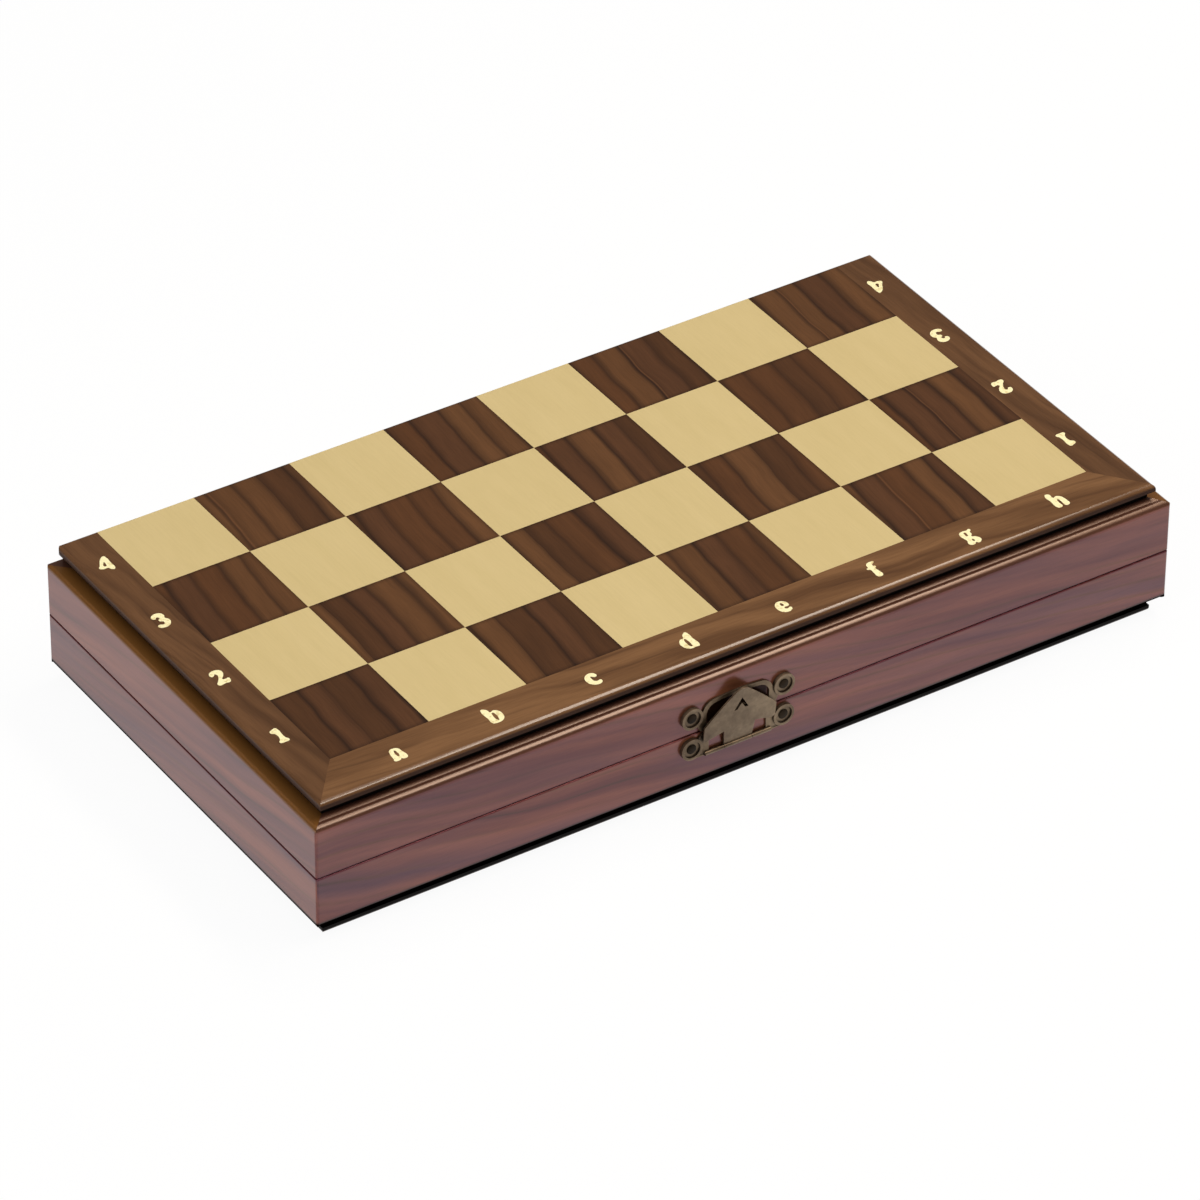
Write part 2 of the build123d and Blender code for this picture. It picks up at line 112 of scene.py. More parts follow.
# ---- a small language for node materials ----------------------------------------------------
class Shader:
    """A material under construction: most methods add nodes and return an output."""

    def __init__(self, name):
        self.material = bpy.data.materials.new(name)
        self.material.use_nodes = True
        self.tree = self.material.node_tree
        self.bsdf = self.tree.nodes["Principled BSDF"]
        self.coordinates = None

    def node(self, kind, **settings):
        made = self.tree.nodes.new(kind)
        for key, value in settings.items():
            setattr(made, key, value)
        return made

    def feed(self, socket, value):
        """Links an output to a socket, or sets the socket to a constant. A triple on a colour
        socket is an sRGB colour."""
        if isinstance(value, bpy.types.NodeSocket):
            self.tree.links.new(value, socket)
        elif isinstance(value, tuple) and len(value) == 3 and socket.type == "RGBA":
            socket.default_value = linear(value)
        else:
            socket.default_value = value

    def made(self, kind, inputs, output=0, **settings):
        """Adds a node, feeds its inputs by name or number, and returns one output."""
        node = self.node(kind, **settings)
        for key, value in inputs.items():
            self.feed(node.inputs[key], value)
        return node.outputs[output]

    def math(self, operation, a, b=0.0, c=0.0):
        return self.made("ShaderNodeMath", {0: a, 1: b, 2: c}, operation=operation)

    def add(self, a, b):
        return self.math("ADD", a, b)

    def times(self, a, b):
        return self.math("MULTIPLY", a, b)

    def plus(self, value, other, share):
        """The value plus a share of another."""
        return self.math("MULTIPLY_ADD", other, share, value)

    def blend(self, factor, low, high):
        """Number between low and high by a factor of 0 to 1."""
        return self.plus(low, factor, high - low)

    def remainder(self, share):
        """What a share leaves of 1."""
        return self.math("SUBTRACT", 1.0, share)

    def axes(self):
        """The three coordinates of the part's own frame, in metres."""
        if self.coordinates is None:
            place = self.node("ShaderNodeTexCoord").outputs["Object"]
            split = self.node("ShaderNodeSeparateXYZ")
            self.feed(split.inputs[0], place)
            self.coordinates = split.outputs
        return self.coordinates

    def vector(self, x, y=0.0, z=0.0):
        return self.made("ShaderNodeCombineXYZ", {0: x, 1: y, 2: z})

    def place(self):
        return self.vector(*self.axes()[:3])

    def noise(self, vector, scale=1.0, detail=2.0, roughness=0.5):
        return self.made("ShaderNodeTexNoise", {
            "Vector": vector, "Scale": scale, "Detail": detail, "Roughness": roughness,
        }, output="Fac")

    def waves(self, u, v, density, seed, detail=2.0):
        """Noise over two lengths: density is its cells to a metre of each."""
        return self.noise(self.vector(
            self.times(u, density[0]), self.times(v, density[1]), seed), detail=detail)

    def chance(self, x, y=0.0, z=0.0):
        """One number of 0 to 1 for each cell."""
        return self.made("ShaderNodeTexWhiteNoise", {"Vector": self.vector(x, y, z)},
                         output="Value", noise_dimensions="3D")

    def ramp(self, factor, stops, interpolation="LINEAR"):
        """A colour ramp: stops are (position, colour), with grey levels given as numbers."""
        node = self.node("ShaderNodeValToRGB")
        band = node.color_ramp
        band.interpolation = interpolation
        while len(band.elements) < len(stops):
            band.elements.new(1.0)
        for element, (position, colour) in zip(band.elements, stops):
            element.position = position
            grey = isinstance(colour, (int, float))
            element.color = (colour, colour, colour, 1.0) if grey else linear(colour)
        self.feed(node.inputs["Fac"], factor)
        return node.outputs["Color"]

    def over(self, distance, reach, stops):
        """A ramp over a distance from 0 to reach: both reach and the stops are millimetres."""
        share = self.times(distance, 1.0 / (reach * MM))
        return self.ramp(share, [(at / reach, level) for at, level in stops])

    def mix(self, factor, a, b, blend="MIX"):
        return self.made("ShaderNodeMix", {"Factor": factor, 6: a, 7: b}, output=2,
                         data_type="RGBA", blend_type=blend)

    def dim(self, colour, level):
        """The colour multiplied by a grey level."""
        return self.mix(1.0, colour, level, blend="MULTIPLY")

    def bump(self, height, strength, distance):
        normal = self.made("ShaderNodeBump", {
            "Strength": strength, "Distance": distance, "Height": height}, output="Normal")
        self.feed(self.bsdf.inputs["Normal"], normal)

    def finish(self, colour, roughness, **inputs):
        """Feeds the surface, with further inputs by name, and returns the material."""
        self.feed(self.bsdf.inputs["Base Color"], colour)
        self.feed(self.bsdf.inputs["Roughness"], roughness)
        for name, value in inputs.items():
            self.feed(self.bsdf.inputs[name.replace("_", " ")], value)
        return self.material


def lacquered(shader, colour, roughness, coat_ior, coat=1.0):
    """Stained wood below a clear coat."""
    return shader.finish(
        colour, roughness, Coat_Weight=coat, Coat_Roughness=0.12, Coat_IOR=coat_ior,
        Specular_IOR_Level=0.05)


# ---- veneer squares -------------------------------------------------------------------------
VENEER_COAT_IOR = 1.42
BAND_WIDTH = 8.6 * MM
RUBBED_MM = 1.6


def fine_grain(shader, along, across, depth, strength):
    """Fine short streaks along the grain, from 1 down to 1 - strength."""
    streak = shader.waves(along, across, (110.0, 2400.0), depth, detail=3.0)
    return shader.ramp(streak, [(0.32, 1.0 - strength), (0.60, 1.0)])


def thin_lines(shader, turns, width):
    """1 on the dark late wood at every whole turn, 0 between, with a softer side."""
    part = shader.math("FRACT", turns)
    return shader.ramp(part, [
        (0.0, 1.0), (width * 0.5, 0.55), (width * 1.6, 0.0), (1.0 - width, 0.0), (1.0, 1.0)])


def squares_grid(shader):
    """Numbers of a square by file, rank and half, and the place within it in metres."""
    axes = shader.axes()
    cells, inside = [], []
    for axis, start in ((0, SQUARES_LEFT), (1, SQUARES_FRONT)):
        turns = shader.math("DIVIDE", shader.add(axes[axis], -start), SQUARE)
        cells.append(shader.math("FLOOR", turns))
        inside.append(shader.times(shader.math("FRACT", turns), SQUARE))
    half = shader.math("GREATER_THAN", axes[2], SEAM)
    return (*cells, half), inside


def leaf_grain(shader, cell, luck, x, y):
    """Place across the leaning and bending grain of a leaf, and the same counted in bands."""
    other_luck = shader.chance(cell[1], cell[2], cell[0])
    bend = shader.noise(shader.vector(shader.times(y, 38.0), shader.times(luck, 40.0)))
    across = shader.plus(x, luck, 7.0 * MM)
    across = shader.add(across, shader.times(y, shader.blend(other_luck, -0.02, -0.11)))
    across = shader.plus(across, bend, 3.2 * MM)
    uneven = shader.noise(shader.vector(shader.times(across, 70.0), other_luck))
    turns = shader.plus(shader.math("DIVIDE", across, BAND_WIDTH), uneven, 1.1)
    return across, turns


def leaf_bands(shader, across, turns, y, luck):
    """Colour of the broad bands: a tone for each, darker towards both sides, with clouds."""
    band = shader.chance(shader.math("FLOOR", turns), luck)
    tones = [(i / len(VENEER_BANDS), tone) for i, tone in enumerate(VENEER_BANDS)]
    colour = shader.ramp(band, tones, "CONSTANT")
    sides = shader.ramp(shader.math("FRACT", turns), [
        (0.0, 0.80), (0.35, 1.0), (0.70, 1.0), (1.0, 0.88)])
    clouds = shader.waves(across, y, (260.0, 34.0), shader.times(luck, 30.0), detail=3.0)
    return shader.dim(shader.dim(colour, sides), shader.ramp(clouds, [(0.3, 0.80), (0.7, 1.0)]))


def leaf_lines(shader, colour, turns, luck):
    """Adds the dark lines between bands, some stronger, and a pale glint beside a few."""
    edge_number = shader.math("ROUND", turns)
    strength = shader.blend(shader.chance(edge_number, luck), 0.30, 0.90)
    lines = shader.times(thin_lines(shader, turns, 0.15), strength)
    colour = shader.mix(lines, colour, VENEER_LINE)
    beside = shader.ramp(shader.math("FRACT", turns), [
        (0.05, 0.0), (0.08, 1.0), (0.10, 1.0), (0.14, 0.0)])
    chosen = shader.math("GREATER_THAN", shader.chance(edge_number, 7.0, luck), 0.92)
    glint = shader.times(shader.times(beside, chosen), 0.35)
    return shader.mix(glint, colour, VENEER_GLINT)


def square_margin(shader, x, y):
    """Distance from the nearest edge of the square."""
    nearest_x = shader.math("MINIMUM", x, shader.math("SUBTRACT", SQUARE, x))
    nearest_y = shader.math("MINIMUM", y, shader.math("SUBTRACT", SQUARE, y))
    return shader.math("MINIMUM", nearest_x, nearest_y)


def walnut_squares(name):
    """Walnut veneer: every square is a leaf of its own, with broad bands from front to back
    parted by thin dark lines, and a little darker along its edges."""
    shader = Shader(name)
    cell, (x, y) = squares_grid(shader)
    luck = shader.chance(*cell)
    across, turns = leaf_grain(shader, cell, luck, x, y)
    colour = leaf_bands(shader, across, turns, y, luck)
    colour = leaf_lines(shader, colour, turns, luck)
    rubbed = shader.over(square_margin(shader, x, y), RUBBED_MM, [(0.0, 0.62), (RUBBED_MM, 1.0)])
    colour = shader.dim(colour, rubbed)
    grain = fine_grain(shader, y, across, shader.times(luck, 9.0), 0.13)
    shader.bump(grain, 0.10, 0.0002)
    return lacquered(shader, shader.dim(colour, grain), 0.45, VENEER_COAT_IOR)


def maple_squares(name):
    """Pale veneer: nearly plain, with a faint silky figure that differs from square to square."""
    shader = Shader(name)
    cell, (x, y) = squares_grid(shader)
    luck = shader.times(shader.chance(*cell), 9.0)
    figure = shader.waves(x, y, (150.0, 24.0), luck, detail=4.0)
    colour = shader.ramp(figure, [(0.25, MAPLE[0]), (0.75, MAPLE[1])])
    grain = fine_grain(shader, y, x, luck, 0.035)
    shader.bump(grain, 0.05, 0.0001)
    return lacquered(shader, shader.dim(colour, grain), 0.42, VENEER_COAT_IOR)


# ---- border strips --------------------------------------------------------------------------
BORDER_COAT_IOR = 1.45


def border_figure(shader, along, across, tones, seed):
    """Colour of a strip: wavy mottled figure, broken dark streaks and fine grain."""
    bend = shader.waves(along, across, (26.0, 30.0), seed)
    wander = shader.plus(shader.plus(across, bend, 9.0 * MM), along, 0.10)
    figure = shader.waves(along, wander, (14.0, 190.0), seed, detail=4.0)
    colour = shader.ramp(figure, [(0.32, tones[0]), (0.62, tones[1])])
    lines = thin_lines(shader, shader.math("DIVIDE", wander, 7.0 * MM), 0.08)
    broken = shader.waves(along, across, (24.0, 60.0), seed + 4.0)
    streaks = shader.times(lines, shader.ramp(broken, [(0.44, 0.0), (0.60, 0.4)]))
    colour = shader.mix(streaks, colour, BORDER_STREAK)
    grain = fine_grain(shader, along, across, seed, 0.13)
    shader.bump(grain, 0.10, 0.0002)
    return shader.dim(colour, grain)


def border_zones(shader):
    """Masks where shade is painted: 1 on the upright side of the lip, and 1 on the foot below it.
    The sawn ends, which face the back, are plain wood and belong to neither."""
    facing = shader.node("ShaderNodeSeparateXYZ")
    shader.feed(facing.inputs[0], shader.node("ShaderNodeTexCoord").outputs["Normal"])
    sawn_end = shader.math("GREATER_THAN", facing.outputs["Y"], 0.9)
    moulded = shader.remainder(sawn_end)
    level = shader.math("ABSOLUTE", facing.outputs["Z"])
    side = shader.ramp(level, [(0.28, 1.0), (0.62, 0.0)])
    from_seam = shader.math("ABSOLUTE", shader.add(shader.axes()[2], -SEAM))
    foot = shader.math("LESS_THAN", from_seam, TOP - SEAM - LIP_HEIGHT + 0.05 * MM)
    return shader.times(moulded, side), shader.times(moulded, foot)


def border_walnut(name, along_axis, tones, seed):
    """Walnut border strip, lacquered on top, with shade painted on the side of its lip and on its
    foot: darker brown on the lid, and below the box the side is as dark as the foot."""
    shader = Shader(name)
    axes = shader.axes()
    colour = border_figure(shader, axes[along_axis], axes[1 - along_axis], tones, seed)
    side, foot = border_zones(shader)
    upper = shader.math("GREATER_THAN", axes[2], SEAM)
    # Painted shade: the lip's side is darkened to a brown on the lid and to black on the base, and
    # the foot below the lip is painted black.
    colour = shader.mix(side, colour, shader.mix(upper, SHADE, LIP_SHADE_TONE))
    colour = shader.mix(foot, colour, SHADE)
    bare = shader.math("MAXIMUM", foot, shader.times(side, shader.blend(upper, 0.95, 0.85)))
    return lacquered(shader, colour, 0.45, BORDER_COAT_IOR, shader.remainder(bare))


# ---- rails ----------------------------------------------------------------------------------
SKIN = 0.8 * MM
# Ramps over the height of one half, in millimetres from the joint between the halves.
HALF_MM = 20.0
LEDGE_MM = [(16.2, 0.0), (17.0, 1.0)]
UNDER_MM = [(15.4, 0.0), (16.3, 1.0)]
SEAM_SHADE_MM = [(0.15, 1.0), (0.95, 0.0)]


def outer_face(shader):
    """1 on the outer faces of the rails, 0 on their inside."""
    axes = shader.axes()
    beyond = [shader.math("GREATER_THAN", shader.math("ABSOLUTE", axes[axis]), face - SKIN)
              for axis, face in ((0, RAILS_X), (1, RAILS_Y))]
    return shader.math("MAXIMUM", *beyond)


def latch_shade_mask(shader):
    """1 where shadow is painted dark on the wood inside the arch of the latch's hook plate."""
    axes = shader.axes()
    beside = shader.math("ABSOLUTE", shader.add(axes[0], -LATCH_X))
    above = shader.add(axes[2], -SEAM)
    return shader.times(
        shader.over(beside, 20.0, [(10.0, 1.0), (11.6, 0.0)]),
        shader.over(above, 20.0, [(1.6, 0.0), (2.8, 1.0), (8.8, 1.0), (10.0, 0.0)]))


def rail_figure(shader, along, up, seed, cool):
    """Brown of the wood and tint of its sheen, in the same long slanting streaks. The sheen
    also has bluish patches, as far as cool lets them, and broken dark lines."""
    bend = shader.waves(along, up, (9.0, 24.0), seed)
    slant = shader.plus(shader.plus(up, bend, 14.0 * MM), along, 0.14)
    broad = shader.waves(along, slant, (10.0, 170.0), seed, detail=3.0)
    brown = shader.ramp(broad, [(0.30, RAIL_TONES[0]), (0.68, RAIL_TONES[1])])
    sheen = shader.ramp(broad, [(0.30, RAIL_SHEEN[0]), (0.68, RAIL_SHEEN[1])])
    patches = shader.waves(along, slant, (7.0, 75.0), seed + 9.0)
    sheen = shader.mix(shader.ramp(patches, [(0.38, 0.0), (0.64, cool)]), sheen, SHEEN_COOL)
    lines = thin_lines(shader, shader.math("DIVIDE", slant, 5.2 * MM), 0.12)
    broken = shader.waves(along, slant, (14.0, 120.0), seed + 4.0)
    streaks = shader.times(lines, shader.ramp(broken, [(0.42, 0.0), (0.60, 0.7)]))
    sheen = shader.mix(streaks, sheen, SHEEN_STREAK)
    grain = fine_grain(shader, along, up, seed, 0.12)
    shader.bump(grain, 0.08, 0.0002)
    return shader.dim(brown, grain), shader.dim(sheen, grain)


def rail_wood(name, along_axis, seed, cool, shaded_behind_latch):
    """Dark brown rail under a reddish lacquer, whose sheen carries the red. The ledge below the
    board has a tone of its own, partly painted light. The lacquer is thin along the rim, where
    shade of the joint is painted, and the base's lower edge is painted black as shade and has no
    sheen. On the lid's front rail, shadow behind the latch is painted black."""
    shader = Shader(name)
    axes = shader.axes()
    brown, sheen = rail_figure(shader, axes[along_axis], axes[2], seed, cool)
    from_seam = shader.math("ABSOLUTE", shader.add(axes[2], -SEAM))
    ledge = shader.over(from_seam, HALF_MM, LEDGE_MM)
    # Partly painted light: the ledge is darker at the front and back and lighter at the sides, as
    # the light falls on them.
    brown = shader.mix(ledge, brown, LEDGE_TONES_AS_LIT[along_axis])
    sheen = shader.mix(ledge, sheen, LEDGE_SHEEN)
    outside = outer_face(shader)
    # Painted shade: the rounded outer rims beside the joint between the halves are darkened, and
    # their coat is thinner.
    rim = shader.times(shader.over(from_seam, 1.0, SEAM_SHADE_MM), outside)
    brown = shader.mix(rim, brown, SEAM_SHADE_TONE)
    # Painted shade on the base's lower edge: black, without sheen or coat.
    painted_shade = shader.times(shader.over(from_seam, HALF_MM, UNDER_MM),
                        shader.math("LESS_THAN", axes[2], SEAM))
    brown = shader.mix(painted_shade, brown, SHADE)
    if shaded_behind_latch:
        # Painted shadow: the wood inside the arch of the hook plate is darkened nearly to black,
        # without sheen.
        latch_shade = shader.times(latch_shade_mask(shader), shader.times(outside, 0.9))
        brown = shader.mix(latch_shade, brown, LATCH_SHADE_TONE)
        painted_shade = shader.math("MAXIMUM", painted_shade, latch_shade)
    bare = shader.math("MAXIMUM", shader.plus(shader.times(rim, 0.7), ledge, 0.3), painted_shade)
    coat = RAIL_COATS[along_axis]
    return shader.finish(
        brown, 0.30, IOR=1.6, Specular_Tint=sheen, Specular_IOR_Level=shader.remainder(painted_shade),
        Coat_Weight=shader.plus(coat, bare, -coat), Coat_Roughness=0.20, Coat_IOR=1.58)


# ---- fibreboard, felt, metals and letters ---------------------------------------------------
def fibreboard(name):
    """Plain pressed board with a fine grit."""
    shader = Shader(name)
    grit = shader.noise(shader.place(), 2200.0, detail=4.0, roughness=0.7)
    colour = shader.ramp(grit, [(0.3, FIBREBOARD[0]), (0.7, FIBREBOARD[1])])
    shader.bump(grit, 0.3, 0.0002)
    return shader.finish(colour, 0.8)


def felt(name):
    """Green felt: fluffy, in slightly uneven patches."""
    shader = Shader(name)
    fluff = shader.noise(shader.place(), 1500.0, detail=5.0, roughness=0.75)
    patches = shader.noise(shader.place(), 60.0, detail=3.0)
    colour = shader.ramp(fluff, [(0.3, FELT[0]), (0.75, FELT[1])])
    colour = shader.dim(colour, shader.ramp(patches, [(0.3, 0.85), (0.7, 1.0)]))
    shader.bump(fluff, 0.7, 0.0005)
    return shader.finish(colour, 0.95, Sheen_Weight=0.4, Sheen_Roughness=0.5,
                         Specular_IOR_Level=0.1)


def worn_edges(shader):
    """1 along sharp edges, 0 on flats."""
    rounded = shader.made("ShaderNodeBevel", {"Radius": 0.22 * MM}, samples=6)
    flat = shader.node("ShaderNodeNewGeometry").outputs["Normal"]
    agreement = shader.made("ShaderNodeVectorMath", {0: rounded, 1: flat}, output="Value",
                            operation="DOT_PRODUCT")
    return shader.ramp(agreement, [(0.55, 1.0), (0.96, 0.0)])


def hollows(shader):
    """1 in recesses and beside steps, 0 in the open."""
    open_air = shader.made("ShaderNodeAmbientOcclusion", {"Distance": 1.6 * MM},
                           output="AO", samples=8)
    return shader.ramp(open_air, [(0.38, 1.0), (0.80, 0.0)])


def metal(name, tones, edge, roughness, metallic, patina=0.0, gloss=0.5):
    """Worn plated metal: blotched and grained, brighter along its edges and, with a patina,
    darker in its hollows."""
    shader = Shader(name)
    patches = shader.noise(shader.place(), 120.0, detail=4.0, roughness=0.6)
    grit = shader.noise(shader.place(), 900.0, detail=3.0)
    colour = shader.ramp(patches, [(0.30, tones[0]), (0.66, tones[1])])
    colour = shader.dim(colour, shader.ramp(grit, [(0.35, 0.8), (0.7, 1.0)]))
    colour = shader.mix(shader.times(worn_edges(shader), 0.6), colour, edge)
    if patina:
        colour = shader.mix(shader.times(hollows(shader), patina), colour, PATINA)
    shader.bump(grit, 0.2, 0.0001)
    return shader.finish(colour, shader.plus(roughness - 0.1, patches, 0.2),
                         Metallic=metallic, Specular_IOR_Level=gloss)


def letter_foil(name):
    """Pale stamped lettering, a little worn."""
    shader = Shader(name)
    worn = shader.noise(shader.place(), 900.0, detail=4.0)
    colour = shader.ramp(worn, [(0.30, LETTER[0]), (0.48, LETTER[1])])
    shader.bump(worn, 0.1, 0.0001)
    return shader.finish(colour, 0.4, Specular_IOR_Level=0.3)


# ---- finishes of the CAD pieces --------------------------------------------------------------
dark_squares = walnut_squares("walnut_squares")
light_squares = maple_squares("maple_squares")
borders = {
    "front": border_walnut("walnut_border_front", 0, BORDER_FRONT, 2.3),
    "left": border_walnut("walnut_border_left", 1, BORDER_SIDE, 7.1),
    "right": border_walnut("walnut_border_right", 1, BORDER_SIDE, 4.6),
}
core = fibreboard("board_core")
lining = felt("felt_lining")
brass = metal("hinge_brass", BRASS, BRASS_EDGE, 0.28, 1.0)
bronze = metal("antique_bronze", BRONZE, BRONZE_EDGE, 0.42, 0.75, patina=0.85)
dark_bronze = metal("antique_bronze_nails", NAIL, BRONZE_EDGE, 0.55, 0.30, patina=0.6,
                    gloss=0.1)
foil = letter_foil("letter_foil")


def dress(node, material):
    """Gives a CAD node its finish."""
    mesh = nodes[node].data
    mesh.materials.clear()
    mesh.materials.append(material)


# Every rail has a figure of its own, and those of the base have more of the bluish patches.
seed = 1.0
for half, cool in (("base", 0.95), ("lid", 0.45)):
    dress(f"{half}_dark_squares", dark_squares)
    dress(f"{half}_light_squares", light_squares)
    dress(f"{half}_board_core", core)
    for side, material in borders.items():
        dress(f"{half}_border_{side}", material)
    for side, axis in (("front", 0), ("back", 0), ("left", 1), ("right", 1)):
        seed += 3.7
        # Only the lid's front rail carries the latch, and so the painted shadow behind it.
        shaded_behind_latch = (half, side) == ("lid", "front")
        dress(f"{half}_{side}_rail", rail_wood(f"rail_{half}_{side}", axis, seed, cool, shaded_behind_latch))
    for side in ("left", "right"):
        dress(f"{half}_hinge_leaf_{side}", brass)
for node in ("hinge_pin_left", "hinge_pin_right"):
    dress(node, brass)
for node in ("latch_base_plate", "latch_lever", "latch_lever_pin", "latch_hook_plate"):
    dress(node, bronze)


# ---- pieces made here -----------------------------------------------------------------------
SMOOTH_BELOW = math.radians(35)


def add_piece(name, vertices, faces, material, body, slot, smooth=True):
    """Makes a mesh piece in the part's frame, riding on a body."""
    mesh = bpy.data.meshes.new(name)
    mesh.from_pydata([tuple(v) for v in vertices], [], faces)
    mesh.materials.append(material)
    mesh.validate()
    made = bpy.data.objects.new(name, mesh)
    bpy.context.collection.objects.link(made)
    mesh.shade_flat()
    if smooth:
        mesh.shade_smooth()
        mesh.set_sharp_from_angle(angle=SMOOTH_BELOW)
    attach(made, body)
    return made


def join_shapes(shapes):
    """One list of vertices and faces from several."""
    vertices, faces = [], []
    for some_vertices, some_faces in shapes:
        shift = len(vertices)
        vertices += some_vertices
        faces += [tuple(i + shift for i in face) for face in some_faces]
    return vertices, faces


def solid_boxes(node):
    """Lowest and highest corner of each separate solid of a CAD node, from left to right."""
    mesh = nodes[node].data
    number_at = {}
    leader = []
    numbers = []
    for vertex in mesh.vertices:
        place = tuple(round(c, 7) for c in vertex.co)
        if place not in number_at:
            number_at[place] = len(leader)
            leader.append(len(leader))
        numbers.append(number_at[place])

    def root(i):
        while leader[i] != i:
            leader[i] = leader[leader[i]]
            i = leader[i]
        return i

    for polygon in mesh.polygons:
        first, *others = (root(numbers[v]) for v in polygon.vertices)
        for other in others:
            leader[root(other)] = root(first)
    groups = {}
    for place, number in number_at.items():
        groups.setdefault(root(number), []).append(place)
    boxes = [(Vector(map(min, *places)), Vector(map(max, *places)))
             for places in groups.values()]
    return sorted(boxes, key=lambda box: (box[0].x, box[0].z))


def wall(start, count, layers):
    """Faces between layers of vertices: each layer is a closed ring of count vertices, and the
    first begins at start."""
    faces = []
    for layer in range(layers - 1):
        for k in range(count):
            a = start + layer * count + k
            b = start + layer * count + (k + 1) % count
            faces.append((a, b, b + count, a + count))
    return faces


def spin(profile, centre, axis, side, sides=32):
    """Vertices and faces of a closed solid of revolution. The profile is (radius, height)
    from one end of the axis to the other, starting and ending on it."""
    across = axis.cross(side)
    vertices = []
    for radius, height in profile[1:-1]:
        for k in range(sides):
            angle = 2 * math.pi * k / sides
            around = side * math.cos(angle) + across * math.sin(angle)
            vertices.append(centre + axis * height + around * radius)
    rings = len(profile) - 2
    faces = wall(0, sides, rings)
    start, end = len(vertices), len(vertices) + 1
    last = (rings - 1) * sides
    vertices += [centre + axis * profile[0][1], centre + axis * profile[-1][1]]
    for k in range(sides):
        following = (k + 1) % sides
        faces.append((start, following, k))
        faces.append((end, last + k, last + following))
    return vertices, faces


def latch_nails(node, body):
    """Round-headed nails: a domed head with a small upright edge, on a pointed shank."""
    head, dome, edge = 1.6 * MM, 0.65 * MM, 0.10 * MM
    shank, length, point = 0.65 * MM, 7.5 * MM, 1.6 * MM
    profile = [(0.0, -length), (shank, -length + point), (shank, 0.0), (head * 0.96, 0.0),
               (head, edge)]
    for step in range(7):
        angle = math.radians(15 + 75 * step / 7)
        profile.append((head * math.cos(angle), edge + (dome - edge) * math.sin(angle)))
    profile.append((0.0, dome))
    shapes = []
    for low, high in solid_boxes(node):
        middle = (low + high) / 2
        seat = Vector((middle.x, low.y + dome, middle.z))
        shapes.append(spin(profile, seat, Vector((0, -1, 0)), Vector((1, 0, 0))))
    nails = add_piece(node + "_dressed", *join_shapes(shapes), dark_bronze, body, "latch_metal")
    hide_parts(node)


def cap_beside_slot(radius, depth, centre, axis, side, turn):
    """One of the two raised halves of a slotted screw head, as a prism with a fine chamfer."""
    half_slot, chamfer, steps = 0.28 * MM, 0.06 * MM, 14
    start = math.asin(half_slot / radius)
    outline = []
    for k in range(steps + 1):
        angle = start + (math.pi - 2 * start) * k / steps + turn
        outline.append((radius * math.cos(angle), radius * math.sin(angle)))
    across = axis.cross(side)
    inset = 1.0 - chamfer / radius
    vertices = []
    for scale, height in ((1.0, -depth), (1.0, -chamfer), (inset, 0.0)):
        for u, v in outline:
            vertices.append(centre + axis * height + side * u * scale + across * v * scale)
    count = len(outline)
    top, bottom = tuple(range(2 * count, 3 * count)), tuple(reversed(range(count)))
    return vertices, [top, bottom, *wall(0, count, 3)]


def hinge_screws(node, body, up):
    """Countersunk screws with a slotted head, each slot at an angle of its own."""
    head, shank, point = 1.9 * MM, 1.0 * MM, 1.5 * MM
    slot_depth, cone_depth = 0.45 * MM, 1.0 * MM
    axis, side = Vector((0, 0, up)), Vector((1, 0, 0))
    shapes = []
    for number, (low, high) in enumerate(solid_boxes(node)):
        middle = (low + high) / 2
        length = high.z - low.z
        top = Vector((middle.x, middle.y, high.z if up > 0 else low.z))
        profile = [(0.0, -length), (shank * 0.9, -length + point), (shank, -cone_depth),
                   (head, -slot_depth), (0.0, -slot_depth)]
        shapes.append(spin(profile, top, axis, side, 24))
        turn = 0.5 + 1.3 * number
        for half_turn in (0.0, math.pi):
            shapes.append(cap_beside_slot(head, slot_depth, top, axis, side, turn + half_turn))
    screws = add_piece(node + "_dressed", *join_shapes(shapes), brass, body, "hinge_brass")
    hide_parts(node)


FELT_COLUMNS, FELT_ROWS = 112, 54


def felt_vertices(low, high, up):
    """The flat back of a lining and then its face, a little uneven and lower at the edges."""
    # As shares of the thickness: how far the face lies below the full thickness, how far it
    # ripples, and how much lower its edges are.
    lowered, ripples, edge_lowered = 0.10, 0.08, 0.30
    face_z, back_z = (high.z, low.z) if up > 0 else (low.z, high.z)
    vertices = []
    for is_face in (False, True):
        for j in range(FELT_ROWS + 1):
            for i in range(FELT_COLUMNS + 1):
                x = low.x + (high.x - low.x) * i / FELT_COLUMNS
                y = low.y + (high.y - low.y) * j / FELT_ROWS
                z = back_z
                if is_face:
                    ripple = noise.noise(Vector((x * 45, y * 45, 3.0 * up)))
                    at_edge = i in (0, FELT_COLUMNS) or j in (0, FELT_ROWS)
                    drop = lowered + ripples * ripple + (edge_lowered if at_edge else 0.0)
                    z = face_z - up * (high.z - low.z) * drop
                vertices.append((x, y, z))
    return vertices


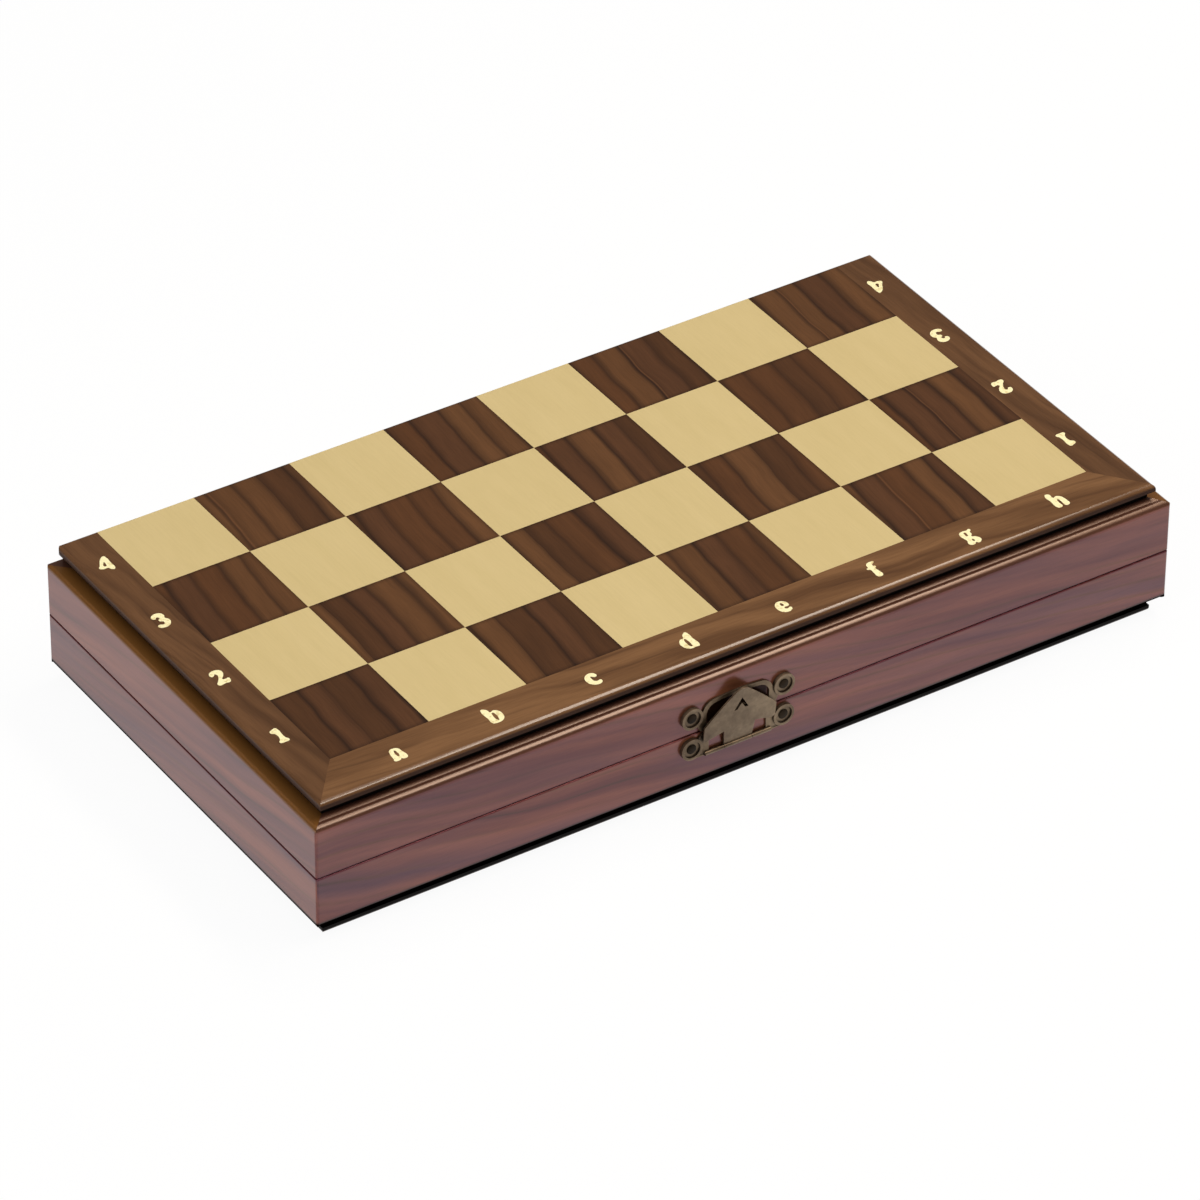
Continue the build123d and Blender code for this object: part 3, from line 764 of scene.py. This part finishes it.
def felt_faces():
    """Faces of a lining that looks up: its face, its back and the cut edge around them."""
    def at(i, j, layer):
        return (layer * (FELT_ROWS + 1) + j) * (FELT_COLUMNS + 1) + i

    faces = []
    for j in range(FELT_ROWS):
        for i in range(FELT_COLUMNS):
            quad = [(i, j), (i + 1, j), (i + 1, j + 1), (i, j + 1)]
            faces.append(tuple(at(a, b, 1) for a, b in quad))
            faces.append(tuple(at(a, b, 0) for a, b in reversed(quad)))
    loop = [(i, 0) for i in range(FELT_COLUMNS)]
    loop += [(FELT_COLUMNS, j) for j in range(FELT_ROWS)]
    loop += [(i, FELT_ROWS) for i in range(FELT_COLUMNS, 0, -1)]
    loop += [(0, j) for j in range(FELT_ROWS, 0, -1)]
    for (a, b), (c, d) in zip(loop, loop[1:] + loop[:1]):
        faces.append((at(a, b, 0), at(c, d, 0), at(c, d, 1), at(a, b, 1)))
    return faces


def felt_sheet(node, body, up):
    """The lining: a felt sheet with soft cut edges that lies a little unevenly."""
    low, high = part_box(node)
    faces = felt_faces()
    if up < 0:
        faces = [face[::-1] for face in faces]
    sheet = add_piece(node + "_dressed", felt_vertices(low, high, up), faces, lining, body,
                      "lining")
    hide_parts(node)


# ---- letters and numbers --------------------------------------------------------------------
# Each glyph is a list of closed smooth outlines in millimetres, holes among them, with x from
# its left edge and y from the baseline.
GLYPHS = {
    "a": [[(0, .2), (.2, 1.4), (.5, 3.8), (1.1, 5.2), (2.5, 5.6), (3.8, 5), (4.2, 3.4), (4.5, .5),
           (4.1, 0), (2.8, 0), (2.3, .5), (1.9, 0), (.6, -.1)],
          [(2.2, 1.6), (1.8, 2.6), (2.0, 4.0), (2.4, 4.6), (2.75, 3.4), (2.6, 2.0)]],
    "b": [[(.1, .4), (0, 3), (.05, 7.1), (.5, 7.6), (1.5, 7.1), (2, 6.3), (2.1, 5.3), (3.4, 5.6),
           (4.6, 4.6), (4.9, 2.9), (4.3, 1), (2.9, .05), (1.5, -.1), (.7, 0)],
          [(2.1, 1.1), (2, 3.6), (2.6, 4.8), (3.05, 3.6), (2.8, 1.6), (2.4, .8)]],
    "c": [[(4.1, 4.8), (3.3, 5.6), (1.9, 5.6), (.5, 4.6), (0, 2.8), (.6, .9), (2.2, -.05),
           (3.7, .2), (4.3, 1.1), (4, 1.6), (3, 1.5), (2.2, 1.9), (2, 3.1), (2.3, 4.2),
           (2.8, 3.7), (3.5, 3.4), (4.2, 3.9)]],
    "d": [[(2.4, 5.3), (2.9, 6.5), (3.6, 7.3), (4.5, 7.6), (4.85, 7), (4.85, 4), (5, .5), (4.6, 0),
           (3.4, .1), (2, -.05), (.7, .7), (0, 2.6), (.4, 4.3), (1.4, 5.3)],
          [(2.3, .9), (1.95, 2.8), (2.2, 4.6), (2.6, 5), (2.95, 4), (2.95, 1.8), (2.7, .9)]],
    "e": [[(0, 2.8), (.6, 4.8), (2.2, 5.6), (3.8, 4.8), (4.3, 3.2), (3.9, 2.5), (2.4, 2.4),
           (2.2, 1.9), (2.8, 1.4), (3.9, 1.7), (4.2, 1.2), (3.4, .2), (2.1, -.05), (.6, .8)],
          [(2, 3.3), (2, 4.2), (2.4, 4.7), (2.8, 4.2), (2.8, 3.3), (2.4, 3.1)]],
    "f": [[(1, .3), (.9, 2.6), (.8, 4.3), (.2, 4.6), (.2, 5.2), (.8, 5.4), (1, 6.6), (1.9, 7.5),
           (3.2, 7.6), (4, 7.4), (3.6, 6.7), (2.9, 6.3), (2.7, 5.5), (3.2, 5.2), (3.2, 4.7),
           (2.7, 4.4), (2.8, 2.6), (2.8, .4), (1.9, 0)]],
    "g": [[(.2, 3.6), (.7, 5.2), (2.1, 5.6), (3.4, 5.4), (4.4, 5.7), (4.7, 5.1), (3.9, 4.3),
           (3.8, 3.2), (3.1, 2.2), (4, 1.6), (4.8, .2), (4.4, -1), (3.1, -1.5), (2.5, -.9),
           (1.9, -1.5), (.6, -1.4), (.1, -.4), (.6, .9), (.4, 2.2)],
          [(2, 2.8), (1.75, 3.9), (2.2, 4.9), (2.55, 3.9)],
          [(2.2, -.1), (2.1, .6), (2.5, 1), (2.8, .4), (2.6, -.2)]],
    "h": [[(.1, .4), (0, 4), (.1, 7.3), (.9, 7.7), (1.7, 7.1), (1.8, 5.2), (2.7, 5.5), (3.8, 5),
           (4.4, 3.9), (4.6, 2), (4.5, .5), (3.6, 0), (2.8, .3), (2.75, 2.4), (2.4, 3.9),
           (1.85, 2.6), (1.75, .4), (.9, 0)]],
    "1": [[(.3, .2), (.3, .9), (1, 1.7), (1.1, 4.7), (.3, 5.4), (.3, 6.3), (1.4, 6.9), (2.5, 7.1),
           (2.9, 6.4), (2.9, 1.8), (3.4, .9), (3.3, .2), (1.8, 0)]],
    "2": [[(.2, 5.5), (.7, 6.6), (2.3, 7.2), (3.9, 6.7), (4.4, 5.3), (3.7, 3.7), (2.7, 2.3),
           (3.5, 2), (4.5, 2.1), (4.6, 1.2), (4, .1), (2.4, .2), (.5, 0), (.1, .8), (1.2, 2.2),
           (2.2, 4), (2.3, 5.1), (1.8, 5.5), (1.3, 4.9), (.5, 4.8)]],
    "3": [[(.3, 5.6), (1, 6.8), (2.6, 7.2), (4, 6.5), (4.3, 5.2), (3.9, 4.1), (4.6, 3), (4.4, 1.4),
           (3.2, .2), (1.4, 0), (.2, .6), (.1, 1.5), (1.1, 1.8), (1.9, 1.4), (2.6, 1.9),
           (2.6, 2.8), (1.8, 3.3), (1.8, 4.1), (2.4, 4.5), (2.3, 5.3), (1.7, 5.4), (1.2, 4.8)]],
    "4": [[(.1, 2.3), (.8, 3.4), (3.4, 7), (4.3, 7.2), (4.6, 6.4), (4.5, 3), (4.5, .7), (3.9, 0),
           (3.1, .4), (2.6, 1.4), (1.2, 1.5)],
          [(1.9, 2.7), (2.4, 4), (2.8, 4.5), (2.9, 3.4), (2.6, 2.5)]],
    "5": [[(.6, 6.9), (2.4, 7), (4.1, 7.1), (4.3, 5.7), (2.4, 5.5), (2.2, 4.7), (3.4, 4.6),
           (4.5, 3.5), (4.5, 1.6), (3.2, .2), (1.4, 0), (.2, .6), (.1, 1.5), (1.1, 1.8),
           (1.9, 1.4), (2.6, 1.9), (2.5, 3), (1.6, 3.4), (.5, 3.3), (.4, 5)]],
    "6": [[(3.9, 6.9), (1.8, 6.2), (.4, 4.4), (0, 2.6), (.6, .8), (2.2, 0), (3.9, .7), (4.5, 2.3),
           (4, 3.9), (2.7, 4.5), (2.3, 4.5), (2.9, 5.5), (4.1, 6)],
          [(2, 1.2), (1.8, 2.4), (2.2, 3.4), (2.7, 2.6), (2.6, 1.4)]],
    "7": [[(.2, 6.8), (2.4, 7), (4.4, 7), (4.5, 5.9), (3.5, 3.4), (2.9, .4), (2, 0), (1.1, .4),
           (1.4, 2.4), (2.6, 5), (1.4, 5.1), (1, 4.5), (.3, 4.7)]],
    "8": [[(2.3, 7.1), (.9, 6.6), (.4, 5.3), (.9, 4.1), (.2, 3), (0, 1.7), (.8, .4), (2.3, 0),
           (3.8, .4), (4.6, 1.7), (4.4, 3), (3.7, 4.1), (4.2, 5.3), (3.7, 6.6)],
          [(2.3, 5.9), (1.9, 5.2), (2.3, 4.6), (2.7, 5.2)],
          [(2.3, 3.1), (1.8, 1.9), (2.3, .9), (2.8, 1.9)]],
}
LETTER_THICKNESS = 0.05 * MM
LETTER_PROUD = 0.03 * MM
LETTERS_Y = SQUARES_FRONT - 11.0 * MM
# How far the letters stand to the right of their files, and the numbers behind the middles of
# their ranks.
LETTER_ASIDE = 0.8 * MM
NUMBER_BEHIND = 0.6 * MM
NUMBER_HALF_HEIGHT = 3.4 * MM
# Side border, place of its numbers, and 1 where their tops point to the back on the lid or -1
# where they point to the front.
NUMBERS_X = (("left", -138.4 * MM, 1), ("right", 137.0 * MM, -1))


def glyph_shape(character):
    """Vertices and faces of a flat glyph with its lower left corner at the origin, in metres."""
    curve = bpy.data.curves.new("glyph", "CURVE")
    curve.dimensions = "2D"
    curve.fill_mode = "BOTH"
    curve.resolution_u = 4
    curve.extrude = LETTER_THICKNESS / 2 / MM
    for outline in GLYPHS[character]:
        spline = curve.splines.new("BEZIER")
        spline.bezier_points.add(len(outline) - 1)
        spline.use_cyclic_u = True
        for point, (x, y) in zip(spline.bezier_points, outline):
            point.co = (x, y, 0)
            point.handle_left_type = point.handle_right_type = "AUTO"
    holder = bpy.data.objects.new("glyph", curve)
    bpy.context.collection.objects.link(holder)
    bpy.context.view_layer.update()
    made = holder.evaluated_get(bpy.context.evaluated_depsgraph_get())
    mesh = bpy.data.meshes.new_from_object(made)
    vertices = [v.co * MM for v in mesh.vertices]
    faces = [tuple(p.vertices) for p in mesh.polygons]
    bpy.data.objects.remove(holder)
    bpy.data.curves.remove(curve)
    bpy.data.meshes.remove(mesh)
    return vertices, faces


def placed_glyph(character, centre, right, up):
    """A glyph on a flat face: the middle of its baseline at centre, reading along right."""
    vertices, faces = glyph_shape(character)
    middle = max(v.x for v in vertices) / 2
    outward = right.cross(up)
    lift = LETTER_PROUD - LETTER_THICKNESS / 2
    moved = [centre + right * (v.x - middle) + up * v.y + outward * (v.z + lift)
             for v in vertices]
    return moved, faces


def board_marks(body, ranks, face, turned):
    """Letters along the front border and the rank numbers on both side borders of one half.
    On a turned half they face down and are read from behind the box."""
    x_axis, y_axis = Vector((1, 0, 0)), Vector((0, 1, 0))
    flip = -1 if turned else 1
    letters = []
    for number, character in enumerate("abcdefgh"):
        x = SQUARES_LEFT + SQUARE * (number + 0.5) + flip * LETTER_ASIDE
        centre = Vector((x, LETTERS_Y, face))
        letters.append(placed_glyph(character, centre, x_axis * flip, y_axis))
    add_piece(f"{body}_file_letters", *join_shapes(letters), foil, body, "light_veneer", False)
    for side, x, way in NUMBERS_X:
        digits = []
        for number, character in enumerate(ranks):
            rank_middle = SQUARES_FRONT + SQUARE * (number + 0.5) + NUMBER_BEHIND
            up = y_axis * way * flip
            right = x_axis * way
            centre = Vector((x, rank_middle, face)) - up * NUMBER_HALF_HEIGHT
            digits.append(placed_glyph(character, centre, right, up))
        add_piece(f"{body}_rank_numbers_{side}", *join_shapes(digits), foil, body,
                  "light_veneer", False)


latch_nails("latch_lid_nails", "lid")
latch_nails("latch_base_nails", "base")
hinge_screws("base_hinge_screws", "base", 1)
hinge_screws("lid_hinge_screws", "lid", -1)
felt_sheet("base_felt_lining", "base", 1)
felt_sheet("lid_felt_lining", "lid", -1)
board_marks("lid", "1234", TOP, False)
board_marks("base", "8765", 0.0, True)


# ---- studio ---------------------------------------------------------------------------------
def make_world(horizon_top, room_bottom, room_level):
    """A dim room above a bright horizon: white up to horizon_top, the room from room_bottom on.
    Both are heights of the direction, as the sine of its elevation."""
    world = bpy.data.worlds.new("studio")
    bpy.context.scene.world = world
    world.use_nodes = True
    tree = world.node_tree
    direction = tree.nodes.new("ShaderNodeTexCoord")
    split = tree.nodes.new("ShaderNodeSeparateXYZ")
    ramp = tree.nodes.new("ShaderNodeValToRGB")
    tree.links.new(direction.outputs["Generated"], split.inputs[0])
    tree.links.new(split.outputs["Z"], ramp.inputs["Fac"])
    bright, dim = ramp.color_ramp.elements
    bright.position = horizon_top
    bright.color = (1.0, 1.0, 1.0, 1.0)
    dim.position = room_bottom
    dim.color = (room_level, room_level, room_level, 1.0)
    background = tree.nodes["Background"]
    tree.links.new(ramp.outputs["Color"], background.inputs["Color"])
    background.inputs["Strength"].default_value = 1.0


def floor_white(shadow_depth, reflected_level):
    """White for the camera but for a light shadow, a plain white a little darker for
    reflections, and white paint for all other rays."""
    shader = Shader("floor_white")
    paint = shader.made("ShaderNodeBsdfDiffuse", {"Color": FLOOR_PAINT})
    bright_paint = shader.made("ShaderNodeBsdfDiffuse", {"Color": WHITE})
    white = shader.made("ShaderNodeEmission", {"Color": WHITE, "Strength": 1.0})
    seen = shader.made("ShaderNodeMixShader", {0: shadow_depth, 1: white, 2: bright_paint})
    path = shader.node("ShaderNodeLightPath").outputs
    mirrored = shader.math("MAXIMUM", path["Is Glossy Ray"], path["Is Transmission Ray"])
    reflected = shader.made("ShaderNodeEmission", {"Color": WHITE, "Strength": reflected_level})
    other = shader.made("ShaderNodeMixShader", {0: mirrored, 1: paint, 2: reflected})
    shown = shader.made("ShaderNodeMixShader", {0: path["Is Camera Ray"], 1: other, 2: seen})
    shader.feed(shader.tree.nodes["Material Output"].inputs["Surface"], shown)
    return shader.material


def make_floor(half_side, drop, material):
    """A square floor a little below the box."""
    mesh = bpy.data.meshes.new("floor")
    corners = [(-1, -1), (1, -1), (1, 1), (-1, 1)]
    mesh.from_pydata([(half_side * x, half_side * y, -drop) for x, y in corners], [],
                     [(0, 1, 2, 3)])
    floor = bpy.data.objects.new("floor", mesh)
    bpy.context.collection.objects.link(floor)
    mesh.materials.append(material)


def make_softbox(name, direction, distance, size, radiance, colour=(1.0, 1.0, 1.0)):
    """An area lamp seen from the box in this direction, with its face turned to the box."""
    lamp = bpy.data.lights.new(name, "AREA")
    lamp.shape = "RECTANGLE"
    lamp.size, lamp.size_y = size
    lamp.energy = radiance * math.pi * size[0] * size[1]
    lamp.color = colour
    holder = bpy.data.objects.new(name, lamp)
    bpy.context.collection.objects.link(holder)
    toward = Vector(direction).normalized()
    holder.location = Vector((0, 0, 0.02)) + toward * distance
    holder.rotation_euler = toward.to_track_quat("Z", "Y").to_euler()


def make_camera():
    """The calibrated view: the squares and the long edges fix place, direction, roll and lens."""
    data = bpy.data.cameras.new("camera")
    data.lens = 230.742
    data.sensor_width = 36.0
    data.sensor_fit = "HORIZONTAL"
    data.clip_start, data.clip_end = 0.1, 50.0
    camera = bpy.data.objects.new("camera", data)
    bpy.context.collection.objects.link(camera)
    right = Vector((0.83815218, -0.54540246, 0.00608879))
    down = Vector((-0.31533175, -0.49363708, -0.81048647))
    ahead = Vector((0.44504697, 0.67739102, -0.58572571))
    turn = Matrix((right, -down, -ahead)).transposed().to_4x4()
    camera.matrix_world = Matrix.Translation((-1.02167, -1.548636, 1.357047)) @ turn
    bpy.context.scene.camera = camera


make_world(horizon_top=0.06, room_bottom=0.14, room_level=0.10)
make_floor(6.0, 0.05 * MM, floor_white(shadow_depth=0.06, reflected_level=0.95))
make_softbox("overhead", (0.0, -0.08, 1.0), 1.2, (1.6, 1.6), 1.12)
make_softbox("left_fill", (-0.80, -0.15, 0.55), 1.6, (1.0, 0.8), 2.4)
make_softbox("right_strip", (0.446, -0.07, 0.89), 1.6, (1.6, 0.30), 9.5, (1.0, 0.88, 0.74))
make_camera()
bpy.context.scene.view_settings.view_transform = "Standard"
